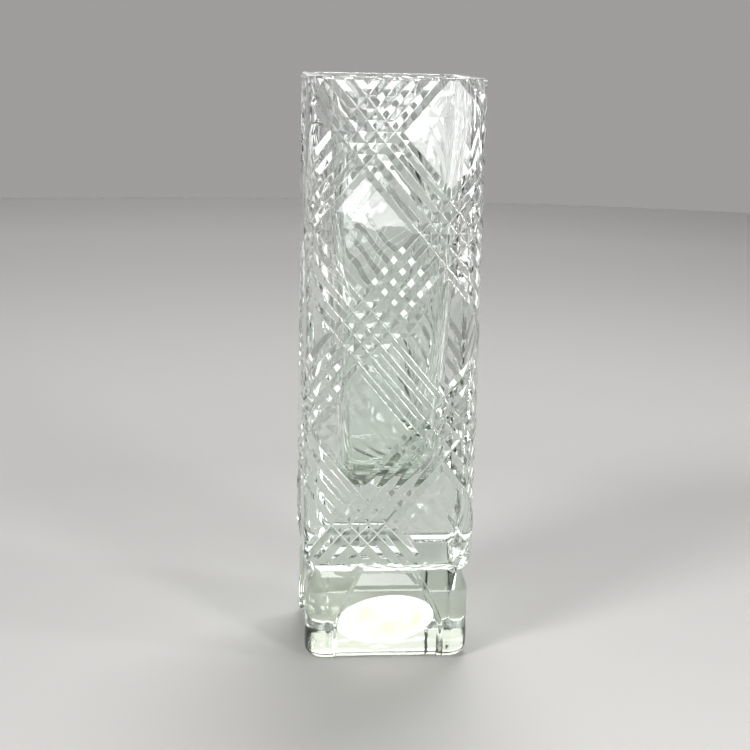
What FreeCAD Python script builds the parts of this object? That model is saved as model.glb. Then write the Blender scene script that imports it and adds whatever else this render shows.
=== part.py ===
import FreeCAD, Part
import math
import os

from FreeCAD import Rotation, Vector

# A cut glass vase: a hollow square column on a solid square foot, with a paper
# sticker on the foot.  Millimetres, +Z up.  The origin is the middle of the
# underside, and the front face looks along -Y.

# Driving sizes
TOTAL_HEIGHT = 204.0
FOOT_HEIGHT = 32.4
COLUMN_WIDTH = 60.0
COLUMN_CORNER_RADIUS = 6.0
COLUMN_LOWER_ROUND = 7.0
RIM_ROUND = 0.8

# The hollow for the flowers, a rounded square that narrows downwards
WELL_MOUTH_WIDTH = 49.0
WELL_FLOOR_WIDTH = 35.0
WELL_FLOOR_HEIGHT = 62.0
WELL_CORNER_RADIUS = 8.0
WELL_FLOOR_ROUND = 7.0

# The foot: upright sides, then a shoulder that slopes in to the neck
FOOT_WIDTH = 58.0
FOOT_CORNER_RADIUS = 7.5
FOOT_LOWER_ROUND = 4.0
NECK_WIDTH = 52.4
SHOULDER_START = 25.0

# The flat panel with an arched top that is sunk into each side of the foot
PANEL_DEPTH = 1.2
PANEL_HALF_WIDTH = 19.9
PANEL_SHOULDER_HALF_WIDTH = 15.0
PANEL_TOP_HALF_WIDTH = 11.0
PANEL_STRAIGHT_HEIGHT = 14.0

# The cut pattern: bands of three ridges between four V grooves, crossing at
# points that stand half a repeat apart.  One repeat fills one face, corner to
# corner, and is also the distance from one crossing to the next above it.
STEPS_PER_REPEAT = 18
STEPS_UP_THE_COLUMN = 45.3
STEPS_RIM_TO_CROSSING = 4.5
STEPS_LEFT_OF_MIDDLE = 3.4
GROOVE_STEPS_IN_BAND = (-3, -1, 1, 3)
GROOVE_DEPTH = 1.0
CREST_WIDTH = 0.3

# The oval sticker on the front panel
LABEL_LENGTH = 35.0
LABEL_BREADTH = 17.5
LABEL_THICKNESS = 0.2
LABEL_HEIGHT = 14.9
LABEL_LEFT_OF_MIDDLE = 0.9
LABEL_TURN_DEGREES = 7.0

# Worked out from the sizes above
SIDES = 4
COLUMN_PERIMETER = SIDES * COLUMN_WIDTH - (8 - 2 * math.pi) * COLUMN_CORNER_RADIUS
STEP_ACROSS = COLUMN_PERIMETER / (SIDES * STEPS_PER_REPEAT)
STEP_UP = (TOTAL_HEIGHT - FOOT_HEIGHT) / STEPS_UP_THE_COLUMN
STEP_DIAGONAL = math.hypot(STEP_ACROSS, STEP_UP)
RIDGE_PITCH = 2 * STEP_ACROSS * STEP_UP / STEP_DIAGONAL
CLEARANCE = 1.0
UP = Vector(0, 0, 1)


def quarter_turns(shape):
    """The shape and its copies on the other three sides."""
    copies = []
    for side in range(SIDES):
        turned = shape.copy()
        turned.rotate(Vector(0, 0, 0), UP, side * 360 / SIDES)
        copies.append(turned)
    return copies


def rounded_square(width, corner_radius, height):
    """A level square outline with round corners."""
    half = width / 2
    flat = half - corner_radius
    reach = flat + corner_radius * math.sqrt(0.5)
    edges = []
    for side in range(SIDES):
        turn = Rotation(UP, side * 360 / SIDES)
        left = turn * Vector(-flat, -half, height)
        right = turn * Vector(flat, -half, height)
        bend = turn * Vector(reach, -reach, height)
        next_left = turn * Vector(half, -flat, height)
        edges.append(Part.LineSegment(left, right).toShape())
        edges.append(Part.Arc(right, bend, next_left).toShape())
    return Part.Wire(edges)


def prism(width, corner_radius, low, high):
    outline = Part.Face(rounded_square(width, corner_radius, low))
    return outline.extrude(UP * (high - low))


def round_level_edges(solid, height, radius):
    """Rounds every edge that lies level at one height."""
    edges = []
    for edge in solid.Edges:
        box = edge.BoundBox
        if abs(box.ZMin - height) < 1e-4 and abs(box.ZMax - height) < 1e-4:
            edges.append(edge)
    return solid.makeFillet(radius, edges)


def slab(low, high):
    """A wide block between two heights, to trim with."""
    span = 2 * COLUMN_WIDTH
    return Part.makeBox(span, span, high - low, Vector(-span / 2, -span / 2, low))


def well():
    """The space inside, which has a round-edged floor."""
    over = TOTAL_HEIGHT + CLEARANCE
    floor = rounded_square(WELL_FLOOR_WIDTH, WELL_CORNER_RADIUS, WELL_FLOOR_HEIGHT)
    mouth = rounded_square(WELL_MOUTH_WIDTH, WELL_CORNER_RADIUS, over)
    space = Part.makeLoft([floor, mouth], True, True)
    return round_level_edges(space, WELL_FLOOR_HEIGHT, WELL_FLOOR_ROUND)


def column_blank():
    """The column before it is cut, with its lower edge rounded in to the neck."""
    inset = (COLUMN_WIDTH - NECK_WIDTH) / 2
    flat_part = COLUMN_LOWER_ROUND - inset
    rise = math.sqrt(COLUMN_LOWER_ROUND**2 - flat_part**2)
    low = FOOT_HEIGHT - (COLUMN_LOWER_ROUND - rise)
    blank = prism(COLUMN_WIDTH, COLUMN_CORNER_RADIUS, low, TOTAL_HEIGHT)
    blank = round_level_edges(blank, low, COLUMN_LOWER_ROUND)
    blank = blank.cut(slab(low - CLEARANCE, FOOT_HEIGHT))
    blank = blank.cut(well())
    return round_level_edges(blank, TOTAL_HEIGHT, RIM_ROUND)


def groove(middle_height, direction):
    """One V groove in the front face, through the column of crossings there."""
    half_width = (RIDGE_PITCH - CREST_WIDTH) / 2
    outside = half_width * (1 + CLEARANCE / GROOVE_DEPTH)
    face = -COLUMN_WIDTH / 2
    middle = Vector(-STEPS_LEFT_OF_MIDDLE * STEP_ACROSS, face, middle_height)
    along = Vector(STEP_ACROSS, 0, direction * STEP_UP) / STEP_DIAGONAL
    across = along.cross(Vector(0, 1, 0))
    half_length = STEPS_PER_REPEAT * STEP_DIAGONAL
    start = middle - along * half_length
    bottom = start + Vector(0, GROOVE_DEPTH, 0)
    left = start - across * outside - Vector(0, CLEARANCE, 0)
    right = start + across * outside - Vector(0, CLEARANCE, 0)
    section = Part.Face(Part.makePolygon([bottom, left, right, bottom]))
    return section.extrude(along * 2 * half_length)


def front_grooves():
    """All grooves of the front face that reach the column."""
    top_crossing = TOTAL_HEIGHT - STEPS_RIM_TO_CROSSING * STEP_UP
    grooves = []
    for direction in (-1, 1):
        for band in range(-4, 2):
            for offset in GROOVE_STEPS_IN_BAND:
                steps = band * STEPS_PER_REPEAT + offset
                cutter = groove(top_crossing + steps * STEP_UP, direction)
                face_part = cutter.common(front_zone())
                if face_part.Volume > 1:
                    grooves.append(face_part)
    return grooves


def front_zone():
    """The space just in front of and just behind the front face."""
    half = COLUMN_WIDTH / 2 + CLEARANCE
    corner = Vector(-half, -half, FOOT_HEIGHT)
    depth = 2 * CLEARANCE + GROOVE_DEPTH
    return Part.makeBox(2 * half, depth, TOTAL_HEIGHT + CLEARANCE - FOOT_HEIGHT, corner)


def vase_body():
    """The hollow column with its diamond bands on all four faces."""
    body = column_blank()
    cutters = []
    for cutter in front_grooves():
        cutters.extend(quarter_turns(cutter))
    return body.cut(cutters)


def foot_blank(inset):
    """The foot's outer shape, drawn in by an even inset on every side."""
    radius = FOOT_CORNER_RADIUS - inset
    lower = prism(FOOT_WIDTH - 2 * inset, radius, 0, SHOULDER_START)
    lower = round_level_edges(lower, 0, FOOT_LOWER_ROUND)
    start = rounded_square(FOOT_WIDTH - 2 * inset, radius, SHOULDER_START)
    end = rounded_square(NECK_WIDTH - 2 * inset, radius, FOOT_HEIGHT)
    shoulder = Part.makeLoft([start, end], True, True)
    return lower.fuse(shoulder)


def panel_outline():
    """The arched panel's outline on the front, as a block through the foot's face."""
    front = -FOOT_WIDTH / 2 - CLEARANCE
    low = -CLEARANCE
    right_side = [
        Vector(PANEL_HALF_WIDTH, front, low),
        Vector(PANEL_HALF_WIDTH, front, PANEL_STRAIGHT_HEIGHT),
        Vector(PANEL_SHOULDER_HALF_WIDTH, front, SHOULDER_START),
        Vector(PANEL_TOP_HALF_WIDTH, front, FOOT_HEIGHT + CLEARANCE),
    ]
    left_side = [Vector(-point.x, point.y, point.z) for point in reversed(right_side)]
    outline = Part.makePolygon(right_side + left_side + right_side[:1])
    return Part.Face(outline).extrude(Vector(0, FOOT_WIDTH / 4, 0))


def foot():
    """The solid glass foot with a sunk arched panel on each side."""
    outer = foot_blank(0)
    skin = panel_outline().cut(foot_blank(PANEL_DEPTH))
    return outer.cut(quarter_turns(skin)).removeSplitter()


def label():
    """The oval sticker, flat on the front panel and a little askew."""
    panel_face = -FOOT_WIDTH / 2 + PANEL_DEPTH
    centre = Vector(-LABEL_LEFT_OF_MIDDLE, panel_face, LABEL_HEIGHT)
    oval = Part.Ellipse(Vector(0, 0, 0), LABEL_LENGTH / 2, LABEL_BREADTH / 2).toShape()
    sticker = Part.Face(Part.Wire(oval)).extrude(UP * LABEL_THICKNESS)
    sticker.rotate(Vector(0, 0, 0), UP, LABEL_TURN_DEGREES)
    sticker.rotate(Vector(0, 0, 0), Vector(1, 0, 0), 90)
    sticker.translate(centre)
    return sticker


def main():
    os.makedirs("parts", exist_ok=True)
    vase_body().exportStep("parts/vase_body.step")
    foot().exportStep("parts/foot.step")
    label().exportStep("parts/label.step")


main()
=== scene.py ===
import bmesh
import bpy
import math
from mathutils import Matrix, Vector


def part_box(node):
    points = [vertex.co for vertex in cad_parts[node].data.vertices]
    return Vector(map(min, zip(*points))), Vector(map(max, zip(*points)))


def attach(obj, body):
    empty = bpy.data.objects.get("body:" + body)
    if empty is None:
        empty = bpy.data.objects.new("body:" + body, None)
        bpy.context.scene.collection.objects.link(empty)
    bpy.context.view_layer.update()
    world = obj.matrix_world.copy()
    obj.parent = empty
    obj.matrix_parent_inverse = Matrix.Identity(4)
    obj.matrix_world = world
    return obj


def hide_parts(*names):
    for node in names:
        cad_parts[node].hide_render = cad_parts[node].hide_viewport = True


# A cut glass vase: a hollow square column with bands of small diamonds, on a
# solid square foot that carries an oval sticker.  The front face looks along -Y.

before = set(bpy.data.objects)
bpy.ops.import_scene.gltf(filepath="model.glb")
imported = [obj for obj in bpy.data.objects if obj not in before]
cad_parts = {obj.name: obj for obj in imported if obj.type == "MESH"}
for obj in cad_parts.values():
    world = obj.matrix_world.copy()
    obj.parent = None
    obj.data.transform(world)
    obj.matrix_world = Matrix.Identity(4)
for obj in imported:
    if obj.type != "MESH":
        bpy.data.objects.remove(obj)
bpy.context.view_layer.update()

MM = 0.001

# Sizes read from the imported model
column_low, column_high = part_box("vase_body")
foot_low, foot_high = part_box("foot")
label_low, label_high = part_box("label")
COLUMN_HALF = (column_high.x - column_low.x) / 2
RIM_Z = column_high.z
NECK_Z = foot_high.z
FOOT_HALF = (foot_high.x - foot_low.x) / 2

# Shape of the column
COLUMN_CORNER = 6.0 * MM
LOWER_ROUND = 7.0 * MM
NECK_HALF = 26.2 * MM
RIM_ROUND = 0.9 * MM
RIM_ROUND_STEPS = 5

# Shape of the well
MOUTH_HALF = 24.5 * MM
FLOOR_HALF = 17.5 * MM
WELL_CORNER = 5.0 * MM
WELL_FLOOR_Z = 62.0 * MM
WELL_FLOOR_ROUND = 10.0 * MM
WELL_DISH = 1.2 * MM
WELL_ROUND_STEPS = 8
WELL_WALL_STEPS = 24
DISH_RINGS = (0.8, 0.55, 0.3, 0.1)

# Shape of the foot
FOOT_CORNER = 7.5 * MM
FOOT_LOWER_ROUND = 4.0 * MM
FOOT_ROUND_STEPS = 6
SHOULDER_Z = 25.0 * MM
PANEL_DEPTH = 1.2 * MM
PANEL_BEVEL = 2.5 * MM
PANEL_TOP_HALF = 11.0 * MM
PANEL_HALF = 19.9 * MM
PANEL_STRAIGHT_Z = 12.0 * MM
PANEL_ARCH_POWER = 1.3
PANEL_STEPS = (8, 8, 4)
NECK_LEDGE = 0.4 * MM
FOOT_RING_STEP = 0.8 * MM
FOOT_BEND_STEPS = 10

# The sticker
LABEL_LENGTH = 34.8 * MM
LABEL_BREADTH = 17.4 * MM
LABEL_THICKNESS = label_high.y - label_low.y
LABEL_TURN = math.radians(7.0)
STICKER_CORNERS = 96
STICKER_RINGS = ((0.985, 0.15), (1.0, 0.3), (1.0, 0.75), (0.992, 0.92), (0.97, 1.0))

# The cut lattice, counted in steps: one step is half the width, or half the
# height, of a small diamond.  A column of crossings stands a few steps in from
# the left corner of each side, with its top crossing a few steps under the rim.
SIDES = 4
STEPS_PER_SIDE = 18
AROUND = SIDES * STEPS_PER_SIDE
STEPS_UP = 45.3
STEPS_TO_CROSSING = 5.6
STEPS_UNDER_RIM = 4.5
TOP_CROSSING = STEPS_UP - STEPS_UNDER_RIM
BAND_REACH = 4
WINDOW_MIDDLE = STEPS_PER_SIDE / 2

# A groove is a V with a slightly rounded valley and crest
GROOVE_DEPTH = 1.05 * MM
SOFT_EDGE = 0.14
SOFT_SHARE = 0.05

# Extra mesh lines where the glass curves, and the layer that holds facet normals
BEND_CUTS = 8
ROUNDING_CUTS = 8
NORMAL_LAYER = "facet normal"
FLAT_FACET_WEIGHT = 90
STEP_TOLERANCE = 1e-4
CUT_TOLERANCE = 1e-5
WELD_DISTANCE = 1e-6


# ---------------------------------------------------------------- square rings

def zone_of(share_of_side):
    """The zone of one side that a place is in, from corner to corner, and how far along it."""
    flat = 2 * (COLUMN_HALF - COLUMN_CORNER)
    bend = COLUMN_CORNER * math.pi / 4
    distance = share_of_side * (flat + 2 * bend)
    if distance < bend:
        return "bend in", distance / bend
    if distance <= bend + flat:
        return "flat", (distance - bend) / flat
    return "bend out", (distance - bend - flat) / bend


def station(steps):
    """A place round the vase: its side, its zone there and how far along that zone."""
    steps = (steps + AROUND) % AROUND
    side = min(int(steps / STEPS_PER_SIDE), SIDES - 1)
    zone, share = zone_of(steps / STEPS_PER_SIDE - side)
    return side, zone, share


def facing(zone, share):
    """The angle that the front side's outline faces at a place."""
    turned = {"bend in": 45 * share - 45, "flat": 0, "bend out": 45 * share}[zone]
    return math.radians(turned - 90)


def turn_to(side):
    """The turn from the front side to another side."""
    return Matrix.Rotation(side * math.pi / 2, 3, "Z")


def square_point(where, half, corner, inset, height):
    """The point at a station of a rounded square, moved in by inset."""
    side, zone, share = where
    flat = half - corner
    if zone == "flat":
        point = Vector((flat * (2 * share - 1), inset - half, height))
    else:
        angle = facing(zone, share)
        middle = -flat if zone == "bend in" else flat
        reach = corner - inset
        point = Vector((middle + reach * math.cos(angle), reach * math.sin(angle) - flat, height))
    return turn_to(side) @ point


def quarter_round(radius, steps):
    """Pairs (inset, drop) along a quarter circle, from the upright side to the level top."""
    pairs = []
    for step in range(1, steps + 1):
        angle = step / steps * math.pi / 2
        pairs.append((radius * (1 - math.cos(angle)), radius * math.sin(angle)))
    return pairs


def add_ring(mesh, points):
    """Vertices at the points, in order."""
    return [mesh.verts.new(point) for point in points]


def join_rings(mesh, lower, upper):
    """Faces between two rings of equal count, looking outwards when upper lies above lower."""
    count = len(lower)
    for index in range(count):
        after = (index + 1) % count
        mesh.faces.new((lower[index], lower[after], upper[after], upper[index]))


# ---------------------------------------------------------------- cut lattice

def band_place(steps):
    """Where a line of the lattice lies from the middle of its nearest band."""
    return (steps + STEPS_PER_SIDE / 2) % STEPS_PER_SIDE - STEPS_PER_SIDE / 2


def groove_share(steps):
    """How deep one family of grooves is at a line of the lattice, as a share of full depth."""
    place = band_place(steps)
    if abs(place) >= BAND_REACH:
        return 0.0
    from_valley = abs(place % 2 - 1)
    soft_valley = max(0.0, 1 - from_valley / SOFT_EDGE)
    soft_crest = max(0.0, 1 - (1 - from_valley) / SOFT_EDGE)
    return 1 - from_valley - SOFT_SHARE * soft_valley + SOFT_SHARE * soft_crest


def groove_slope(steps):
    """Change of the depth's share over a step: level in a crease, full on the facets beside it."""
    place = band_place(steps)
    if abs(place) >= BAND_REACH:
        return 0.0
    from_crease = abs(place - round(place))
    return min(1.0, from_crease / SOFT_EDGE) * (1 if place % 2 < 1 else -1)


def families(across, up):
    """The rising and the falling line of the lattice through a place."""
    right = across - STEPS_TO_CROSSING
    above = up - TOP_CROSSING
    return above + right, above - right


def place_between(rising, falling):
    """The place, in steps round and up, where two lines of the lattice cross."""
    return (rising - falling) / 2 + STEPS_TO_CROSSING, (rising + falling) / 2 + TOP_CROSSING


def groove_cut(across, up):
    """Depth of the cut at a place given in steps round and steps up."""
    return GROOVE_DEPTH * max(groove_share(line) for line in families(across, up))


def lattice_lines(low, high):
    """Mesh lines from low to high: three at each crease of a band, and one along each window."""
    lines = []
    for step in range(math.floor(low), math.ceil(high)):
        place = band_place(step)
        if -BAND_REACH <= place < BAND_REACH:
            lines += [step, step + SOFT_EDGE, step + 1 - SOFT_EDGE]
        elif abs(place) in (BAND_REACH, WINDOW_MIDDLE):
            lines.append(step)
    return lines


def hip_stands(steps):
    """True on the rising side of the nearest valley, so that a cell is split along its hip."""
    return steps % 2 > 1


def add_cell(mesh, corners, splits_upright):
    """Two triangles for one cell, whose corners come as bottom, right, top and left."""
    bottom, right, top, left = corners
    if splits_upright:
        mesh.faces.new((bottom, right, top))
        mesh.faces.new((bottom, top, left))
    else:
        mesh.faces.new((bottom, right, left))
        mesh.faces.new((right, top, left))


def flat_lattice():
    """The unrolled lattice as a mesh in steps: X round the vase, Y up it."""
    mesh = bmesh.new()
    rising = lattice_lines(-(TOP_CROSSING + STEPS_TO_CROSSING) - 1, AROUND + STEPS_UNDER_RIM + 1)
    falling = lattice_lines(-(TOP_CROSSING + AROUND) - 1, STEPS_TO_CROSSING + STEPS_UNDER_RIM + 1)
    known = {}

    def corner(i, j):
        if (i, j) not in known:
            known[i, j] = mesh.verts.new((*place_between(rising[i], falling[j]), 0))
        return known[i, j]

    for i in range(len(rising) - 1):
        for j in range(len(falling) - 1):
            middle_rising = (rising[i] + rising[i + 1]) / 2
            middle_falling = (falling[j] + falling[j + 1]) / 2
            across, up = place_between(middle_rising, middle_falling)
            if -1 < across < AROUND + 1 and -1 < up < STEPS_UP + 1:
                corners = corner(i, j), corner(i + 1, j), corner(i + 1, j + 1), corner(i, j + 1)
                add_cell(mesh, corners, hip_stands(middle_rising) == hip_stands(middle_falling))
    return mesh


def cut_line(mesh, place, direction, clear=False):
    """Cuts the mesh along a line, and clears what lies beyond it if asked."""
    mesh_parts = mesh.verts[:] + mesh.edges[:] + mesh.faces[:]
    bmesh.ops.bisect_plane(mesh, geom=mesh_parts, dist=CUT_TOLERANCE, plane_co=place,
                           plane_no=direction, clear_outer=clear)


def trimmed_lattice():
    """The lattice trimmed to one turn, with extra lines where the glass curves."""
    mesh = flat_lattice()
    cut_line(mesh, (0, 0, 0), (-1, 0, 0), clear=True)
    cut_line(mesh, (AROUND, 0, 0), (1, 0, 0), clear=True)
    cut_line(mesh, (0, 0, 0), (0, -1, 0), clear=True)
    cut_line(mesh, (0, STEPS_UP, 0), (0, 1, 0), clear=True)
    for row in range(1, ROUNDING_CUTS + 1):
        cut_line(mesh, (0, row / ROUNDING_CUTS * lower_round_steps(), 0), (0, 1, 0))
    for side in range(SIDES + 1):
        for cut in range(-BEND_CUTS, BEND_CUTS + 1):
            place = side * STEPS_PER_SIDE + cut / BEND_CUTS * bend_steps()
            if 0 < place < AROUND:
                cut_line(mesh, (place, 0, 0), (1, 0, 0))
    return mesh


def bend_steps():
    """How many steps half of a rounded corner takes up."""
    return COLUMN_CORNER * math.pi / 4 / step_width()


def step_width():
    """The length of a step round the column."""
    return (2 * (COLUMN_HALF - COLUMN_CORNER) + COLUMN_CORNER * math.pi / 2) / STEPS_PER_SIDE


def column_step():
    """The length of a step up the column."""
    return (RIM_Z - RIM_ROUND - NECK_Z) / STEPS_UP


def lower_round_steps():
    """How many steps up the rounding of the column's lower edge ends."""
    flat_part = LOWER_ROUND - (COLUMN_HALF - NECK_HALF)
    return math.sqrt(LOWER_ROUND**2 - flat_part**2) / column_step()


def lower_inset(height):
    """How far the column's lower rounding pulls the side in, at a height above the neck."""
    below = lower_round_steps() * column_step() - height
    if below <= 0:
        return 0.0
    return LOWER_ROUND - math.sqrt(LOWER_ROUND**2 - below**2)


def column_point(across, up):
    """The point of the column's outer skin at a place given in steps."""
    height = up * column_step()
    inset = max(lower_inset(height), groove_cut(across, up))
    return square_point(station(across), COLUMN_HALF, COLUMN_CORNER, inset, NECK_Z + height)


def surface_normal(across, up, middle):
    """The normal at a vertex of a face, as the facet round the face's middle has it."""
    side, zone, share = station(across)
    angle = facing(zone, share)
    outward = Vector((math.cos(angle), math.sin(angle), 0))
    sideways = Vector((-math.sin(angle), math.cos(angle), 0))
    if groove_cut(*middle) <= lower_inset(middle[1] * column_step()):
        tilt = max(0.0, lower_round_steps() - up) * column_step() / LOWER_ROUND
        outward *= math.sqrt(1 - tilt**2)
        outward.z = -tilt
        return turn_to(side) @ outward
    rising, falling = families(*middle)
    deeper = 0 if groove_share(rising) > groove_share(falling) else 1
    slope = GROOVE_DEPTH * groove_slope(families(across, up)[deeper])
    run = slope / step_width() * (-1 if deeper else 1)
    normal = outward + sideways * run
    normal.z = slope / column_step()
    return turn_to(side) @ normal.normalized()


def store_normals(mesh):
    """Keeps each face corner's normal while the mesh is still unrolled."""
    layer = mesh.loops.layers.float_vector.new(NORMAL_LAYER)
    for face in mesh.faces:
        middle = face.calc_center_median()
        for corner in face.loops:
            place = corner.vert.co
            corner[layer] = surface_normal(place.x, place.y, (middle.x, middle.y))


def edge_stations(mesh, row):
    """The steps round the vase of the lattice's vertices on one row, in order."""
    on_row = [vertex.co.x for vertex in mesh.verts if abs(vertex.co.y - row) < STEP_TOLERANCE]
    places = {round(place, 5) for place in on_row}
    return sorted(place for place in places if place < AROUND - STEP_TOLERANCE)


# ---------------------------------------------------------------- glass column

def column_mesh():
    """The column's outer skin, its rim and the well.

    It is open at the neck, where the foot joins on, and it has small gaps where the
    lattice is trimmed: under the rim, at the neck and up the front left corner.
    """
    mesh = trimmed_lattice()
    rim_places = edge_stations(mesh, STEPS_UP)
    store_normals(mesh)
    for vertex in mesh.verts:
        vertex.co = column_point(vertex.co.x, vertex.co.y)
    bmesh.ops.remove_doubles(mesh, verts=mesh.verts[:], dist=WELD_DISTANCE)
    rings = rim_rings(rim_places) + well_rings(rim_places)
    last = add_ring(mesh, [column_point(place, STEPS_UP) for place in rim_places])
    for points in rings:
        ring = add_ring(mesh, points)
        join_rings(mesh, last, ring)
        last = ring
    mesh.faces.new(last)
    bmesh.ops.remove_doubles(mesh, verts=mesh.verts[:], dist=WELD_DISTANCE)
    return mesh


def rim_rings(places):
    """The soft outer edge of the rim, across the level top and into the mouth."""
    rings = []
    for inset, rise in quarter_round(RIM_ROUND, RIM_ROUND_STEPS):
        height = RIM_Z - RIM_ROUND + rise
        ring = []
        for place in places:
            drawn_in = max(inset, groove_cut(place, STEPS_UP))
            ring.append(square_point(station(place), COLUMN_HALF, COLUMN_CORNER, drawn_in, height))
        rings.append(ring)
    for inset, rise in reversed(quarter_round(RIM_ROUND, RIM_ROUND_STEPS)):
        height = RIM_Z - RIM_ROUND + rise
        rings.append(well_ring(places, MOUTH_HALF + inset, WELL_CORNER + inset, height))
    return rings


def well_ring(places, half, corner, height):
    """One ring of the well's surface."""
    return [square_point(station(place), half, corner, 0, height) for place in places]


def well_rings(places):
    """The well's walls, which lean in, its round lower edge and its dished floor."""
    rings = []
    high, low = RIM_Z - RIM_ROUND, WELL_FLOOR_Z + WELL_FLOOR_ROUND
    for step in range(WELL_WALL_STEPS + 1):
        share = step / WELL_WALL_STEPS
        half = MOUTH_HALF + (FLOOR_HALF - MOUTH_HALF) * share
        rings.append(well_ring(places, half, WELL_CORNER, high + (low - high) * share))
    for inset, drop in quarter_round(WELL_FLOOR_ROUND, WELL_ROUND_STEPS):
        half = FLOOR_HALF - inset
        corner = WELL_CORNER * half / FLOOR_HALF
        rings.append(well_ring(places, half, corner, low - drop))
    edge = rings[-1]
    for share in DISH_RINGS:
        height = WELL_FLOOR_Z - WELL_DISH * (1 - share**2)
        rings.append([Vector((point.x * share, point.y * share, height)) for point in edge])
    return rings


# ---------------------------------------------------------------- glass foot

def panel_half_width(height):
    """Half the width of the arched panel at a height."""
    share = max(0.0, height - PANEL_STRAIGHT_Z) / (NECK_Z - PANEL_STRAIGHT_Z)
    return PANEL_HALF + (PANEL_TOP_HALF - PANEL_HALF) * share**PANEL_ARCH_POWER


def foot_outline(height):
    """Half width and corner radius of the foot at a height."""
    if height <= SHOULDER_Z:
        return FOOT_HALF, FOOT_CORNER
    share = (height - SHOULDER_Z) / (NECK_Z - SHOULDER_Z)
    neck_corner = COLUMN_CORNER - (COLUMN_HALF - NECK_HALF)
    corner = FOOT_CORNER + (neck_corner - FOOT_CORNER) * share
    return FOOT_HALF + (NECK_HALF - FOOT_HALF) * share, corner


def flat_marks():
    """Marks across a flat: 0 is its middle, 1 and 2 the edges of the panel's bevel, 3 its end."""
    half = []
    for zone, steps in enumerate(PANEL_STEPS):
        half += [zone + step / steps for step in range(steps)]
    half.append(len(PANEL_STEPS))
    return [-mark for mark in reversed(half[1:])] + half


def foot_stations():
    """Stations round the foot: even round a corner, and following the panel's edges on a flat."""
    bend = [step / FOOT_BEND_STEPS for step in range(FOOT_BEND_STEPS)]
    stations = []
    for side in range(SIDES):
        stations += [(side, "bend in", share) for share in bend]
        stations += [(side, "flat", mark) for mark in flat_marks()]
        stations += [(side, "bend out", share) for share in bend[1:]]
    return stations


def panel_place(mark, panel_half, flat):
    """Where a mark of the flat lies at a height, and its share of the panel's depth."""
    zone = min(int(abs(mark)), len(PANEL_STEPS) - 1)
    share = abs(mark) - zone
    places = (0, panel_half - PANEL_BEVEL, panel_half, flat)
    place = places[zone] + share * (places[zone + 1] - places[zone])
    depth = (1, 0.5 + 0.5 * math.cos(share * math.pi), 0)[zone]
    return math.copysign(place, mark), depth


def foot_ring(stations, height, inset, panel_depth=PANEL_DEPTH):
    """One ring of the foot.  Its mesh lines follow the edges of the panels."""
    half, corner = foot_outline(height)
    flat = half - corner
    points = []
    for side, zone, share in stations:
        depth = 0.0
        if zone == "flat":
            across, depth = panel_place(share, panel_half_width(height), flat)
            share = (across / flat + 1) / 2
        drawn_in = inset + depth * panel_depth
        points.append(square_point((side, zone, share), half, corner, drawn_in, height))
    return points


def foot_mesh():
    """The foot below the neck, open only where the column joins on."""
    mesh = bmesh.new()
    stations = foot_stations()
    rings = [foot_ring(stations, NECK_Z, 0, panel_depth=0)]
    height = NECK_Z - NECK_LEDGE
    while height > FOOT_LOWER_ROUND + FOOT_RING_STEP / 2:
        rings.append(foot_ring(stations, height, 0))
        height -= FOOT_RING_STEP
    rings.append(foot_ring(stations, FOOT_LOWER_ROUND, 0))
    for inset, drop in quarter_round(FOOT_LOWER_ROUND, FOOT_ROUND_STEPS):
        rings.append(foot_ring(stations, FOOT_LOWER_ROUND - drop, inset))
    last = add_ring(mesh, rings[0])
    for points in rings[1:]:
        ring = add_ring(mesh, points)
        join_rings(mesh, ring, last)
        last = ring
    mesh.faces.new(list(reversed(last)))
    return mesh


# ---------------------------------------------------------------- materials

# Sockets of a colour Mix node, and the usual range of a Noise node
MIX_FIRST, MIX_SECOND, MIX_RESULT = 6, 7, 2
NOISE_LOW, NOISE_HIGH = 0.3, 0.7

# Each noise: its scale per metre and its detail
TINT_NOISE = (24, 2)
DULL_NOISE = (55, 4)
RIPPLE_NOISE = (160, 1)
WAVE_NOISE = (60, 1)
WORN_NOISE = (130, 3)
MATT_NOISE = (400, 2)
FIBRE_NOISE = (2500, 3)

# Glass
GLASS_IOR = 1.52
TINT_SPREAD = 0.25
DULL_ROUGHNESS = 0.03
FINE_RIPPLE = 0.010 * MM
WELL_WAVE = 0.30 * MM
WELL_REACH, SKIN_REACH = 25.5 * MM, 27.0 * MM
# The glass's own green, deeper low down. The column's lower colour is also darker than its upper one,
# and that darkening is painted shade on the lower column.
COLUMN_GREEN_AND_PAINTED_SHADE, COLUMN_CLEAR = (0.87, 0.94, 0.88), (0.97, 0.99, 0.98)
FOOT_DEEP, FOOT_CLEAR = (0.87, 0.93, 0.80), (0.84, 0.93, 0.85)

# Sticker paper
PAPER_WHITE, PAPER_GOLD = (0.95, 0.945, 0.90), (0.94, 0.92, 0.58)
GOLD_FIELD, WHITE_BORDER = 0.72, 0.88
MOST_WORN = 0.15
PAPER_SHEEN, PAPER_MATT = 0.45, 0.7
FIBRE_STRENGTH = 0.6
FIBRE_HEIGHT = 0.03 * MM


def new_material(name):
    """A node material with its Principled shader."""
    material = bpy.data.materials.new(name)
    material.use_nodes = True
    return material, material.node_tree.nodes["Principled BSDF"]


def add_node(owner, kind, **inputs):
    """A node in the tree of a material or the world, with some of its inputs set."""
    node = owner.node_tree.nodes.new(kind)
    for name, value in inputs.items():
        node.inputs[name.replace("_", " ")].default_value = value
    return node


def link(owner, source, target):
    """Joins two sockets in the tree of a material or the world."""
    owner.node_tree.links.new(source, target)


def calculate(material, operation, first, second):
    """One sum on two sockets."""
    node = add_node(material, "ShaderNodeMath")
    node.operation = operation
    link(material, first, node.inputs[0])
    link(material, second, node.inputs[1])
    return node.outputs["Value"]


def object_place(material):
    """The place on the object, in its own coordinates."""
    return add_node(material, "ShaderNodeTexCoord").outputs["Object"]


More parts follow.
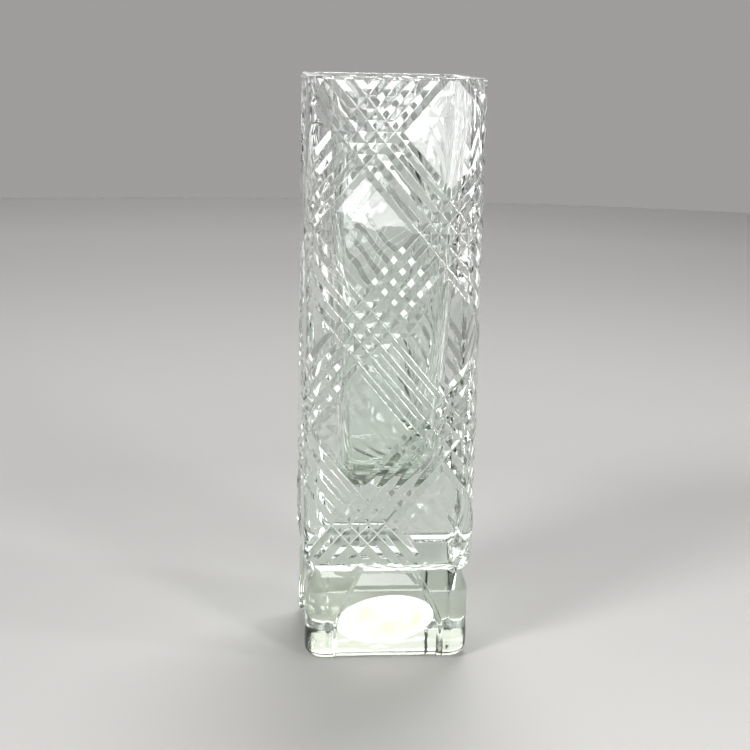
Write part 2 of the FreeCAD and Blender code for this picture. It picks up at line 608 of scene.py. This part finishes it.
def object_noise(material, scale_and_detail):
    """Noise that stays fixed to the object."""
    scale, detail = scale_and_detail
    noise = add_node(material, "ShaderNodeTexNoise", Scale=scale, Detail=detail)
    link(material, object_place(material), noise.inputs["Vector"])
    return noise.outputs["Fac"]


def map_range(material, value, **limits):
    """The value carried over from one range to another."""
    node = add_node(material, "ShaderNodeMapRange", **limits)
    link(material, value, node.inputs["Value"])
    return node.outputs["Result"]


def spread_noise(material, scale_and_detail, low, high):
    """Noise fixed to the object whose usual values run from low to high."""
    noise = object_noise(material, scale_and_detail)
    return map_range(material, noise, From_Min=NOISE_LOW, From_Max=NOISE_HIGH, To_Min=low, To_Max=high)


def blend_colours(material, value, first, second):
    """The first colour where the value is 0, running to the second where it is 1."""
    node = add_node(material, "ShaderNodeMix")
    node.data_type = "RGBA"
    node.inputs[MIX_FIRST].default_value = (*first, 1)
    node.inputs[MIX_SECOND].default_value = (*second, 1)
    link(material, value, node.inputs["Factor"])
    return node.outputs[MIX_RESULT]


def height_share(material, low, high):
    """How far up a piece a place is, from 0 at low to 1 at high."""
    split = add_node(material, "ShaderNodeSeparateXYZ")
    link(material, object_place(material), split.inputs["Vector"])
    return map_range(material, split.outputs["Z"], From_Min=low, From_Max=high)


def vector_length(material, vector):
    """The length of a vector socket."""
    node = add_node(material, "ShaderNodeVectorMath")
    node.operation = "LENGTH"
    link(material, vector, node.inputs[0])
    return node.outputs["Value"]


def inner_share(material):
    """1 on the well's walls, which the plunger leaves wavy, and 0 on the outside."""
    size = add_node(material, "ShaderNodeVectorMath")
    size.operation = "ABSOLUTE"
    split = add_node(material, "ShaderNodeSeparateXYZ")
    link(material, object_place(material), size.inputs[0])
    link(material, size.outputs["Vector"], split.inputs["Vector"])
    reach = calculate(material, "MAXIMUM", split.outputs["X"], split.outputs["Y"])
    return map_range(material, reach, From_Min=SKIN_REACH, From_Max=WELL_REACH)


def add_bump(material, shader, height, strength, distance):
    """Lets a height socket tilt the shader's normal."""
    bump = add_node(material, "ShaderNodeBump", Strength=strength, Distance=distance)
    link(material, height, bump.inputs["Height"])
    link(material, bump.outputs["Normal"], shader.inputs["Normal"])


def glass_material(name, low, high, deep, clear):
    """Polished glass, greener low down, with an uneven tint, fire-polish waves and dull patches. The
    green is the glass's own. Where the low colour is also darker, as in the column, that darkening is
    painted shade.
    """
    material, shader = new_material(name)
    shader.inputs["Transmission Weight"].default_value = 1.0
    shader.inputs["IOR"].default_value = GLASS_IOR
    uneven = spread_noise(material, TINT_NOISE, -TINT_SPREAD, TINT_SPREAD)
    tint = calculate(material, "ADD", height_share(material, low, high), uneven)
    link(material, blend_colours(material, tint, deep, clear), shader.inputs["Base Color"])
    dull = spread_noise(material, DULL_NOISE, 0.0, DULL_ROUGHNESS)
    link(material, dull, shader.inputs["Roughness"])
    ripple = spread_noise(material, RIPPLE_NOISE, 0.0, FINE_RIPPLE)
    wave = spread_noise(material, WAVE_NOISE, 0.0, WELL_WAVE)
    well_wave = calculate(material, "MULTIPLY", wave, inner_share(material))
    add_bump(material, shader, calculate(material, "ADD", ripple, well_wave), 1.0, 1.0)
    return material


def set_facet_normals(data):
    """Gives the cut faces the normals stored for them, and the other faces smooth ones."""
    stored = data.attributes[NORMAL_LAYER]
    normals = []
    for corner in data.loops:
        own = Vector(stored.data[corner.index].vector)
        smooth = data.vertices[corner.vertex_index].normal.copy()
        normals.append(own if own.length > 0 else smooth)
    data.attributes.remove(stored)
    data.normals_split_custom_set(normals)


def finish_piece(mesh, name, material, nodes):
    """Turns a mesh into a smooth piece that keeps its facets flat and rides on the root body."""
    data = bpy.data.meshes.new(name)
    mesh.normal_update()
    mesh.to_mesh(data)
    mesh.free()
    data.shade_smooth()
    data.materials.append(material)
    piece = bpy.data.objects.new(name, data)
    bpy.context.scene.collection.objects.link(piece)
    if NORMAL_LAYER in data.attributes:
        set_facet_normals(data)
    else:
        weighted = piece.modifiers.new("flat facets", "WEIGHTED_NORMAL")
        weighted.weight = FLAT_FACET_WEIGHT
    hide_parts(*nodes)
    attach(piece, "root")
    return piece


column_glass = glass_material("column glass", NECK_Z, RIM_Z, COLUMN_GREEN_AND_PAINTED_SHADE, COLUMN_CLEAR)
foot_glass = glass_material("foot glass", 0, NECK_Z, FOOT_DEEP, FOOT_CLEAR)
finish_piece(column_mesh(), "column_glass", column_glass, ["vase_body"])
finish_piece(foot_mesh(), "foot_glass", foot_glass, ["foot"])


# ---------------------------------------------------------------- sticker

def paper_material():
    """White paper with a worn pale gold field and fine fibre."""
    material, shader = new_material("sticker paper")
    oval = add_node(material, "ShaderNodeVectorMath")
    oval.operation = "DIVIDE"
    oval.inputs[1].default_value = (LABEL_LENGTH / 2, LABEL_BREADTH / 2, 1)
    link(material, object_place(material), oval.inputs[0])
    radius = vector_length(material, oval.outputs["Vector"])
    field = map_range(material, radius, From_Min=WHITE_BORDER, From_Max=GOLD_FIELD)
    worn = spread_noise(material, WORN_NOISE, MOST_WORN, 1.0)
    gold = calculate(material, "MULTIPLY", field, worn)
    link(material, blend_colours(material, gold, PAPER_WHITE, PAPER_GOLD), shader.inputs["Base Color"])
    matt = spread_noise(material, MATT_NOISE, PAPER_SHEEN, PAPER_MATT)
    link(material, matt, shader.inputs["Roughness"])
    add_bump(material, shader, object_noise(material, FIBRE_NOISE), FIBRE_STRENGTH, FIBRE_HEIGHT)
    return material


def sticker_ring(share, rise):
    """An oval of points, a share of the sticker's size, part of the way up its thickness."""
    points = []
    for corner in range(STICKER_CORNERS):
        angle = 2 * math.pi * corner / STICKER_CORNERS
        across = share * LABEL_LENGTH / 2 * math.cos(angle)
        up = share * LABEL_BREADTH / 2 * math.sin(angle)
        points.append(Vector((across, up, rise * LABEL_THICKNESS)))
    return points


def sticker_mesh():
    """A thin oval sheet with a soft edge, drawn flat with its front up."""
    mesh = bmesh.new()
    last = add_ring(mesh, sticker_ring(*STICKER_RINGS[0]))
    mesh.faces.new(list(reversed(last)))
    for share, rise in STICKER_RINGS[1:]:
        ring = add_ring(mesh, sticker_ring(share, rise))
        join_rings(mesh, last, ring)
        last = ring
    mesh.faces.new(last)
    return mesh


def place_sticker():
    """Stands the sticker against the foot's front panel, a little askew."""
    piece = finish_piece(sticker_mesh(), "sticker", paper_material(), ["label"])
    centre = (label_low + label_high) / 2
    stand = Matrix.Rotation(math.pi / 2, 4, "X") @ Matrix.Rotation(LABEL_TURN, 4, "Z")
    piece.matrix_world = Matrix.Translation((centre.x, label_high.y, centre.z)) @ stand


place_sticker()


# ---------------------------------------------------------------- stage, lights, camera

FLOOR_RADIUS = 1.6
FLOOR_CORNERS = 128
FLOOR_GAP = 0.2 * MM
# The floor runs from the near grey to a paler far colour. The paler far colour is painted light: it
# makes up for the lamps' falloff so the far floor meets the world's grey at its edge.
FLOOR_NEAR, FLOOR_FAR_PAINTED_LIGHT = (0.50, 0.495, 0.485), (0.92, 0.91, 0.89)
NEAR_REACH, FAR_REACH = 0.25, 1.2
FLOOR_ROUGHNESS = 0.6

# Greys of the room and of the glow behind, as pairs: height of the direction, grey
ROOM_GREYS = ((0.0, 0.34), (0.09, 0.02), (1.0, 0.02))
GLOW_GREYS = ((0.0, 0.34), (0.024, 0.34), (0.055, 1.4), (0.22, 1.4), (0.32, 0.95), (0.6, 0.95),
              (0.85, 0.05))
WARM_TINT = (1, 0.985, 0.975)
GLOW_FADES_IN, GLOW_IS_FULL = 0.72, 0.86

# Each softbox: name, place, what it looks at, width, height and power in watts
SOFTBOXES = (
    ("key", (-0.6, -0.55, 0.75), (0, 0, 0.1), 0.3, 0.3, 6.0),
    ("fill", (0.8, -0.3, 0.35), (0, 0, 0.1), 0.12, 0.5, 2.0),
    ("top", (0.1, 0.3, 0.85), (0, 0, 0), 0.35, 0.25, 4.0),
    ("front", (0.36, -0.62, 0.22), (0, 0, 0.06), 0.16, 0.16, 3.4),
    ("flash", (0.055, -0.57, 0.151), (0, 0, 0.15), 0.14, 0.12, 0.3),
    ("far floor", (0, 1.35, 1.2), (0, 1.35, 0), 1.2, 0.4, 2.4),
)

CAMERA_TURN = math.radians(-5.6)
CAMERA_RISE = math.radians(11.95)
CAMERA_ROLL = math.radians(1.2)
CAMERA_AIM = Vector((-3.47, 0.34, 97.4)) * MM
CAMERA_DISTANCE = 0.582
CAMERA_LENS = 77.4
CAMERA_SENSOR = 36

GLASS_BOUNCES = 24
GLOSS_BOUNCES = 8
EXPOSURE = -0.1


def floor_material():
    """Pale and matt, and paler far away: painted light that makes up for the lamps' falloff there."""
    material, shader = new_material("pale floor")
    reach = vector_length(material, object_place(material))
    # Painted light: the floor turns paler with distance from the vase.
    far = map_range(material, reach, From_Min=NEAR_REACH, From_Max=FAR_REACH)
    link(material, blend_colours(material, far, FLOOR_NEAR, FLOOR_FAR_PAINTED_LIGHT), shader.inputs["Base Color"])
    shader.inputs["Roughness"].default_value = FLOOR_ROUGHNESS
    return material


def stage_floor():
    """A round floor just under the foot."""
    mesh = bmesh.new()
    bmesh.ops.create_circle(mesh, cap_ends=True, segments=FLOOR_CORNERS, radius=FLOOR_RADIUS)
    data = bpy.data.meshes.new("floor")
    mesh.to_mesh(data)
    mesh.free()
    floor = bpy.data.objects.new("floor", data)
    floor.location.z = -FLOOR_GAP
    bpy.context.scene.collection.objects.link(floor)
    data.materials.append(floor_material())


def softbox(name, place, aim, width, height, power):
    """An oval area light that looks at a point."""
    light = bpy.data.lights.new(name, "AREA")
    light.shape = "ELLIPSE"
    light.size = width
    light.size_y = height
    light.energy = power
    lamp = bpy.data.objects.new(name, light)
    lamp.location = place
    lamp.rotation_euler = (Vector(aim) - Vector(place)).to_track_quat("-Z", "Y").to_euler()
    bpy.context.scene.collection.objects.link(lamp)


def grey_ramp(world, height, stops):
    """A grey that changes with the height of the direction."""
    ramp = add_node(world, "ShaderNodeValToRGB")
    elements = ramp.color_ramp.elements
    while len(elements) < len(stops):
        elements.new(0.5)
    for element, (place, grey) in zip(elements, stops):
        element.position = place
        element.color = (*[grey * tint for tint in WARM_TINT], 1)
    link(world, height, ramp.inputs["Fac"])
    return ramp.outputs["Color"]


def studio_world():
    """A grey room, dark overhead, with a tall glowing wall behind."""
    world = bpy.data.worlds.new("studio")
    bpy.context.scene.world = world
    world.use_nodes = True
    place = add_node(world, "ShaderNodeTexCoord")
    split = add_node(world, "ShaderNodeSeparateXYZ")
    link(world, place.outputs["Generated"], split.inputs["Vector"])
    behind = add_node(world, "ShaderNodeMapRange", From_Min=GLOW_FADES_IN, From_Max=GLOW_IS_FULL)
    behind.interpolation_type = "SMOOTHSTEP"
    link(world, split.outputs["Y"], behind.inputs["Value"])
    mix = add_node(world, "ShaderNodeMix")
    mix.data_type = "RGBA"
    link(world, behind.outputs["Result"], mix.inputs["Factor"])
    link(world, grey_ramp(world, split.outputs["Z"], ROOM_GREYS), mix.inputs[MIX_FIRST])
    link(world, grey_ramp(world, split.outputs["Z"], GLOW_GREYS), mix.inputs[MIX_SECOND])
    link(world, mix.outputs[MIX_RESULT], world.node_tree.nodes["Background"].inputs["Color"])


def place_camera():
    """The camera at the picture's viewing angle: a little left of the front, looking down."""
    level = math.cos(CAMERA_RISE)
    away = Vector((math.sin(CAMERA_TURN) * level, -math.cos(CAMERA_TURN) * level, math.sin(CAMERA_RISE)))
    data = bpy.data.cameras.new("camera")
    data.sensor_width = CAMERA_SENSOR
    data.lens = CAMERA_LENS
    camera = bpy.data.objects.new("camera", data)
    camera.location = CAMERA_AIM + away * CAMERA_DISTANCE
    looking = (-away).to_track_quat("-Z", "Y").to_matrix() @ Matrix.Rotation(CAMERA_ROLL, 3, "Z")
    camera.rotation_euler = looking.to_euler()
    bpy.context.scene.collection.objects.link(camera)
    bpy.context.scene.camera = camera


def set_light_paths():
    """Enough bounces for light to get through the column's four glass walls and back."""
    settings = bpy.context.scene.cycles
    settings.max_bounces = GLASS_BOUNCES
    settings.transmission_bounces = GLASS_BOUNCES
    settings.glossy_bounces = GLOSS_BOUNCES


def set_tones():
    """A plain picture, a little darker and with a little more contrast."""
    settings = bpy.context.scene.view_settings
    settings.view_transform = "Standard"
    settings.look = "Medium High Contrast"
    settings.exposure = EXPOSURE


stage_floor()
studio_world()
for box in SOFTBOXES:
    softbox(*box)
place_camera()
set_light_paths()
set_tones()
